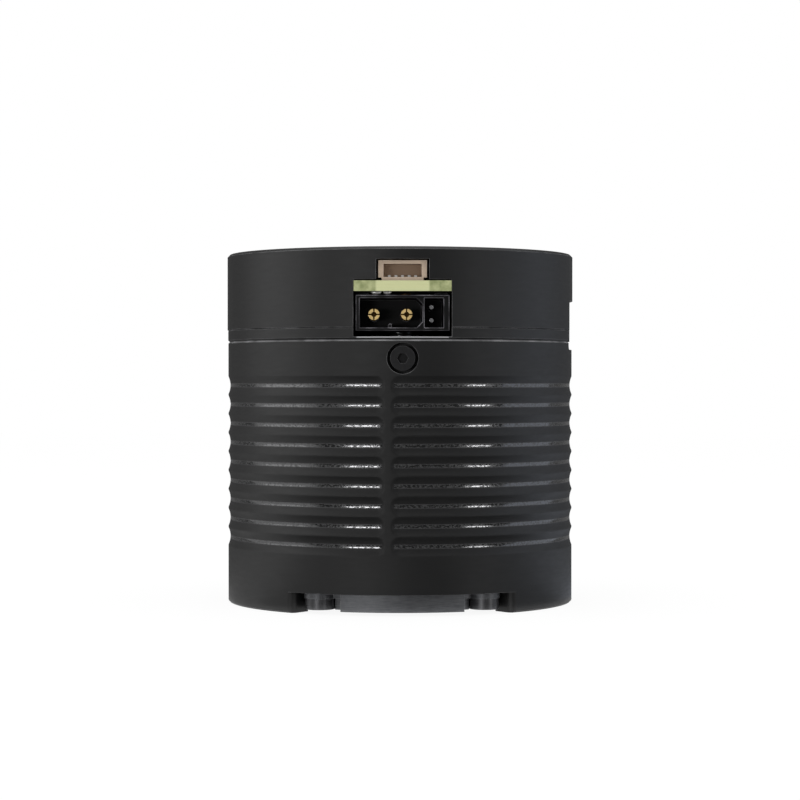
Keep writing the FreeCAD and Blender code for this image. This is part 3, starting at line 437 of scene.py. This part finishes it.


# Pale bands on the anodised parts: the housing's top chamfer, partly uncoated metal and partly a
# painted highlight along the seam, and the window sill at the front, a painted highlight.
HOUSING_CHAMFER = (SEAM - 0.24 * MM, SEAM, RADIUS)
WINDOW_SILL = (SEAM + 0.2 * MM, SEAM + 0.41 * MM, 7.0 * MM)
# Painted shade: the header's cavity darkens inwards to this colour.
HEADER_CAVITY_SHADE = (HEADER_FRONT + 0.3 * MM, HEADER_FRONT + 3.0 * MM, (0.36, 0.24, 0.15))
MATERIALS = {
    "anodised_body": anodised("anodised_body", ANODISED_BLACK, 0.53, 0.8, HOUSING_CHAMFER, True),
    "anodised_cover": anodised("anodised_cover", ANODISED_BLACK, 0.5, 0.8, WINDOW_SILL),
    "machined_ring": machined("machined_ring", (0.12, 0.123, 0.13), 0.42, 0.7, 0.25, 0.7, 0.6),
    "machined_flange": machined("machined_flange", (0.30, 0.30, 0.31), 0.36, 0.9),
    # Pale screw edges: partly wear, partly painted highlight.
    "ring_screw_steel": machined("ring_screw_steel", (0.10, 0.10, 0.105), 0.34, 0.8, wear_and_highlight=0.4),
    "black_screw": machined("black_screw", (0.012, 0.012, 0.013), 0.4, 0.3, wear_and_highlight=0.16),
    "seal_rubber": plastic("seal_rubber", (0.015, 0.015, 0.015), 0.6),
    "bearing_steel": turned_metal("bearing_steel", (0.62, 0.62, 0.63), 0.2),
    "gear_steel": turned_metal("gear_steel", (0.42, 0.42, 0.43), 0.3),
    "carrier_steel": turned_metal("carrier_steel", (0.5, 0.5, 0.51), 0.32),
    "bush_bronze": turned_metal("bush_bronze", (0.55, 0.36, 0.16), 0.35),
    "inner_aluminium": turned_metal("inner_aluminium", (0.7, 0.7, 0.71), 0.34),
    "lamination_steel": laminations(),
    "insulator": plastic("insulator", (0.85, 0.83, 0.78), 0.5),
    "copper": winding(),
    "magnet": turned_metal("magnet", (0.55, 0.56, 0.58), 0.22),
    "standoff_brass": turned_metal("standoff_brass", (0.66, 0.5, 0.24), 0.3),
    "board": board_material(),
    "chip": plastic("chip", (0.02, 0.02, 0.02), 0.42),
    "capacitor": turned_metal("capacitor", (0.6, 0.6, 0.62), 0.3),
    # Pale grey edges: painted highlight with some wear.
    "connector_black": plastic("connector_black", (0.004, 0.004, 0.0045), 0.38, 0.2, 0.25,
                               worn_and_highlit=(0.34, 0.33, 0.36)),
    "gold_contact": pin_metal("gold_contact", (1.0, 0.72, 0.30), POWER_TIP, 0.4),
    "tinned_contact": turned_metal("tinned_contact", (0.86, 0.85, 0.82), 0.3, 0.6),
    "signal_pin": pin_metal("signal_pin", (0.5, 0.5, 0.51), SIGNAL_TIP, 0.8),
    # Pale edges: painted highlight with some wear; its cavity is painted shade.
    "header_tan": plastic("header_tan", (0.44, 0.34, 0.25), 0.5, 0.06,
                          worn_and_highlit=(0.60, 0.50, 0.40), cavity_shade=HEADER_CAVITY_SHADE),
}


def dress_frame():
    """Gives every CAD node the material of its slot. The thin signal pins are a duller tin."""
    for part in frame["record"]["subparts"]:
        node = part["node"]
        name = "signal_pin" if node == "signal_contacts" else part["material_slot"]
        data = NODES[node].data
        data.materials.clear()
        data.materials.append(MATERIALS[name])


# ---- Making objects ---------------------------------------------------------------------------
def finished(name, build):
    """Mesh of what was built."""
    mesh = bpy.data.meshes.new(name)
    build.to_mesh(mesh)
    build.free()
    return mesh


def placed(name, data):
    """New object in the scene."""
    obj = bpy.data.objects.new(name, data)
    bpy.context.scene.collection.objects.link(obj)
    return obj


# ---- Housing with a finely modelled grooved skin ----------------------------------------------
SKIN_BELOW = 0.4 * MM        # how far the fine skin goes below the lowest groove
SKIN_ABOVE = 0.15 * MM       # and above the highest one, short of the side screws' counterbores
SKIN_THICKNESS = 0.7 * MM    # faces this close to the outside belong to the skin
BAND_THICKNESS = 0.02 * MM   # and this close they belong to the plain bands
BAND_LEVEL = 0.98            # least cosine between a band's face and the outward direction
CREST_EASE = 0.03 * MM
SLACK = 0.001 * MM
LAND_SPAN = 6                # degrees each side of the land, where the grid is finer
FINE_STEP = 0.15             # degrees
FINE_STEPS = 37              # on each side of the land's middle
ROW_SHARES = (0.0, 0.02, 0.04, 0.07, 0.12, 0.2, 0.3, 0.4, 0.5, 0.6, 0.7, 0.8, 0.88, 0.93, 0.96, 0.98)


def skin_radius(azimuth, z):
    """Outer radius: ball-nosed grooves, their rounded run-outs at the land, and eased crests."""
    half = (PITCH - GROOVE_CREST) / 2
    cutter = (half ** 2 + GROOVE_DEPTH ** 2) / (2 * GROOVE_DEPTH)
    path = RADIUS - GROOVE_DEPTH + cutter
    run_out = (LAND_WIDTH / 2 + half) / RADIUS
    away = abs((azimuth - LAND_AZIMUTH + pi) % (2 * pi) - pi)
    nearest = min(max(int((z - GROOVES_LOW) / PITCH), 0), GROOVE_COUNT - 1)
    offset = z - GROOVES_LOW - (nearest + 0.5) * PITCH
    past = max(run_out - away, 0.0)
    inside = cutter ** 2 - offset ** 2 - (path * sin(past)) ** 2
    reach = path * cos(past) - sqrt(max(inside, 0.0))
    depth = RADIUS - reach
    return RADIUS - (depth + sqrt(depth ** 2 + CREST_EASE ** 2)) / 2


def skin_azimuths():
    """Azimuths of the grid's columns: every degree, and finer at the land."""
    coarse = [radians(i) for i in range(360) if abs(i - LAND_DEGREES - 360 * (i > 180)) > LAND_SPAN]
    fine = [LAND_AZIMUTH + radians(i * FINE_STEP) for i in range(-FINE_STEPS, FINE_STEPS + 1)]
    return sorted(a % (2 * pi) for a in coarse + fine)


def skin_heights(low, high):
    """Heights of the grid's rows, closest at the crests."""
    rows = [GROOVES_LOW + groove * PITCH + PITCH * share
            for groove in range(GROOVE_COUNT) for share in ROW_SHARES]
    return [low, *rows, GROOVES_HIGH, high]


def cut_away_skin(build, low, high):
    """Takes the coarse grooved skin off the housing between two heights."""
    for z in (low, high):
        bmesh.ops.bisect_plane(build, geom=build.verts[:] + build.edges[:] + build.faces[:],
                               dist=1e-7, plane_co=(0, 0, z), plane_no=(0, 0, 1))
    skin = []
    for face in build.faces:
        level = all(low - SLACK < vert.co.z < high + SLACK for vert in face.verts)
        if level and all(vert.co.xy.length > RADIUS - SKIN_THICKNESS for vert in face.verts):
            skin.append(face)
    bmesh.ops.delete(build, geom=skin, context="FACES")


def fine_housing():
    """Copy of the housing whose grooved skin is a fine grid, so that the crests shine cleanly."""
    low, high = GROOVES_LOW - SKIN_BELOW, GROOVES_HIGH + SKIN_ABOVE
    build = bmesh.new()
    build.from_mesh(NODES["motor_housing"].data)
    cut_away_skin(build, low, high)
    azimuths = skin_azimuths()
    grid = []
    for z in skin_heights(low, high):
        grid.append([])
        for azimuth in azimuths:
            radius = skin_radius(azimuth, z)
            grid[-1].append(build.verts.new((radius * sin(azimuth), -radius * cos(azimuth), z)))
    count = len(azimuths)
    for below, above in zip(grid, grid[1:]):
        for i in range(count):
            j = (i + 1) % count
            build.faces.new((below[i], below[j], above[j], above[i]))
    for face in build.faces:
        face.smooth = True
    mesh = finished("motor_housing_skin", build)
    plain_normals(mesh)
    mesh.materials.append(MATERIALS["anodised_body"])
    piece = placed("motor_housing_fine", mesh)
    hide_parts("motor_housing")
    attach(piece, "housing")


def plain_normals(mesh):
    """True normals on the housing's plain outer bands; the rest keeps those of its own faces."""
    normals = [Vector(normal.vector) for normal in mesh.corner_normals]
    for polygon in mesh.polygons:
        for index in polygon.loop_indices:
            point = mesh.vertices[mesh.loops[index].vertex_index].co
            outward = Vector((point.x, point.y, 0)).normalized()
            plain = point.z < GROOVES_LOW or point.z > GROOVES_HIGH
            outside = point.xy.length > RADIUS - BAND_THICKNESS
            if plain and outside and polygon.normal.dot(outward) > BAND_LEVEL:
                normals[index] = outward
    mesh.normals_split_custom_set(normals)


# ---- Solder joints ----------------------------------------------------------------------------
SOLDER_SETBACK = 2.0 * MM    # behind the front of the cover
SOLDER_UNEVEN = 0.12
SOLDER_LUMPS = 2.3
SOLDER_SPREAD = 0.5          # how much wider a joint is at the board


def solder(name, x, width, seed):
    """Small uneven solder joint, cut off flat against the underside of the board."""
    y = COVER[0].y + SOLDER_SETBACK
    under = BOARD[0].z
    half_depth, half_height, flat = 0.4, 0.3, 0.2    # millimetres
    build = bmesh.new()
    bmesh.ops.create_icosphere(build, subdivisions=3, radius=1.0)
    for vert in build.verts:
        lump = 1 + SOLDER_UNEVEN * noise.noise(vert.co * SOLDER_LUMPS + Vector((seed, 0, 0)))
        spread = 1 + SOLDER_SPREAD * max(vert.co.z, 0)
        vert.co = Vector((x + vert.co.x * lump * spread * width / 2,
                          y + vert.co.y * lump * half_depth * MM,
                          under - flat * MM + min(vert.co.z * half_height, flat) * MM))
    for face in build.faces:
        face.smooth = True
    mesh = finished(name, build)
    mesh.materials.append(MATERIALS["tinned_contact"])
    piece = placed(name, mesh)
    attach(piece, "housing")


# ---- Surroundings -----------------------------------------------------------------------------
AMBIENT = 0.9
FLOOR_GLOW = 1.035
FLOOR_SHADOW = 0.12          # share of the object's shadow that the floor keeps
FLOOR_HALF = 40 * RADIUS
FLOOR_DROP = 0.02 * MM
CARD_STEPS = 24
CARD_PROFILE = ((0.029, 0.0005), (0.6, 0.0005), (0.6, 0.75))    # radius and height


def seen_directly(tree):
    """1 for camera, glossy and transmission rays, 0 for the rest."""
    path = tree.nodes.new("ShaderNodeLightPath")
    total = path.outputs["Is Camera Ray"]
    for name in ("Is Glossy Ray", "Is Transmission Ray"):
        node = tree.nodes.new("ShaderNodeMath")
        node.operation = "MAXIMUM"
        tree.links.new(total, node.inputs[0])
        tree.links.new(path.outputs[name], node.inputs[1])
        total = node.outputs[0]
    return total


def glowing(name):
    """New material with a glow in place of the usual shader, and that glow's node."""
    material = bpy.data.materials.new(name)
    material.use_nodes = True
    tree = material.node_tree
    tree.nodes.remove(tree.nodes["Principled BSDF"])
    glow = tree.nodes.new("ShaderNodeEmission")
    tree.links.new(glow.outputs[0], tree.nodes["Material Output"].inputs["Surface"])
    return material, glow


def floor_material():
    """Matt pale floor that is seen as white, with a share of the object's shadow kept."""
    material, glow = glowing("floor")
    tree = material.node_tree
    glow.inputs["Strength"].default_value = FLOOR_GLOW
    matt = tree.nodes.new("ShaderNodeBsdfDiffuse")
    matt.inputs["Color"].default_value = (0.8, 0.8, 0.8, 1.0)
    share = tree.nodes.new("ShaderNodeMath")
    share.operation = "MULTIPLY"
    share.inputs[1].default_value = 1.0 - FLOOR_SHADOW
    mix = tree.nodes.new("ShaderNodeMixShader")
    tree.links.new(seen_directly(tree), share.inputs[0])
    tree.links.new(share.outputs[0], mix.inputs["Fac"])
    tree.links.new(matt.outputs[0], mix.inputs[1])
    tree.links.new(glow.outputs[0], mix.inputs[2])
    tree.links.new(mix.outputs[0], tree.nodes["Material Output"].inputs["Surface"])
    return material


def floor():
    """Large plate just under the part."""
    build = bmesh.new()
    corners = [build.verts.new((x * FLOOR_HALF, y * FLOOR_HALF, -FLOOR_DROP))
               for x, y in ((-1, -1), (1, -1), (1, 1), (-1, 1))]
    build.faces.new(corners)
    mesh = finished("floor", build)
    mesh.materials.append(floor_material())
    obj = placed("floor", mesh)


def flag(name, start, end, grey, cool=0.0):
    """Curved grey card round the set, with its foot on the floor. Only reflections show it.

    It goes from one azimuth to another, in degrees, and cool is how far its grey leans to blue.
    """
    build = bmesh.new()
    rings = []
    for i in range(CARD_STEPS + 1):
        a = radians(start + (end - start) * i / CARD_STEPS)
        rings.append([build.verts.new((r * sin(a), -r * cos(a), z)) for r, z in CARD_PROFILE])
    for one, two in zip(rings, rings[1:]):
        for k in range(len(CARD_PROFILE) - 1):
            build.faces.new((one[k], two[k], two[k + 1], one[k + 1]))
    mesh = finished(name, build)
    material, glow = glowing(name)
    glow.inputs["Color"].default_value = (grey * (1 - cool), grey, grey * (1 + 2 * cool), 1.0)
    mesh.materials.append(material)
    obj = placed(name, mesh)
    obj.visible_camera = False
    obj.visible_diffuse = False
    obj.visible_transmission = False
    obj.visible_shadow = False


def softbox(name, azimuth, elevation, distance, width, height, watts):
    """Rectangular lamp aimed at the object. Azimuth is in degrees from the front towards +X."""
    lamp = bpy.data.lights.new(name, "AREA")
    lamp.shape = "RECTANGLE"
    lamp.size, lamp.size_y, lamp.energy = width, height, watts
    obj = placed(name, lamp)
    a, e = radians(azimuth), radians(elevation)
    direction = Vector((sin(a) * cos(e), -cos(a) * cos(e), sin(e)))
    obj.location = Vector((0, 0, MIDDLE_Z)) + direction * distance
    obj.rotation_euler = (-direction).to_track_quat("-Z", "Y").to_euler()


def world():
    """White where it is seen, and a little greyer as light."""
    scene_world = bpy.data.worlds.new("studio")
    bpy.context.scene.world = scene_world
    scene_world.use_nodes = True
    tree = scene_world.node_tree
    background = tree.nodes["Background"]
    level = tree.nodes.new("ShaderNodeMapRange")
    level.inputs["To Min"].default_value = AMBIENT
    level.inputs["To Max"].default_value = 1.0
    tree.links.new(seen_directly(tree), level.inputs["Value"])
    background.inputs["Color"].default_value = (1.0, 1.0, 1.0, 1.0)
    tree.links.new(level.outputs["Result"], background.inputs["Strength"])


def camera():
    """Long lens, nearly level with the body's middle, a little to the left of the connectors."""
    data = bpy.data.cameras.new("camera")
    data.sensor_width = 36.0
    data.lens = 103.1
    data.clip_start = 0.01
    obj = placed("camera", data)
    distance, height, azimuth, tilt = 0.375, 0.0356, radians(-0.83), radians(-0.45)
    obj.location = (sin(azimuth) * distance, -cos(azimuth) * distance, height)
    obj.rotation_euler = (pi / 2 + tilt, 0, azimuth)
    bpy.context.scene.camera = obj


dress_frame()
fine_housing()
solder("board_solder_a", -4.0 * MM, 1.5 * MM, 3)
solder("board_solder_b", -2.3 * MM, 1.2 * MM, 8)
floor()
world()
flag("flag_left", -112, -56, 0.70)
flag("flag_front", -56, 70, 0.09)
flag("flag_right", 70, 116, 0.72, 0.06)
flag("flag_rear_right", 116, 168, 0.20)
flag("flag_rear_left", -168, -112, 0.16)
softbox("key_left", -84, 15, 0.55, 0.40, 0.50, 0.45)
softbox("top", 0, 80, 0.5, 0.5, 0.3, 0.5)
softbox("strip_left", -24, 0, 0.5, 0.20, 0.045, 0.27)
softbox("strip_right", 51, 0, 0.5, 0.14, 0.04, 0.15)
camera()
bpy.context.scene.view_settings.view_transform = "Standard"

bpy.context.view_layer.update()
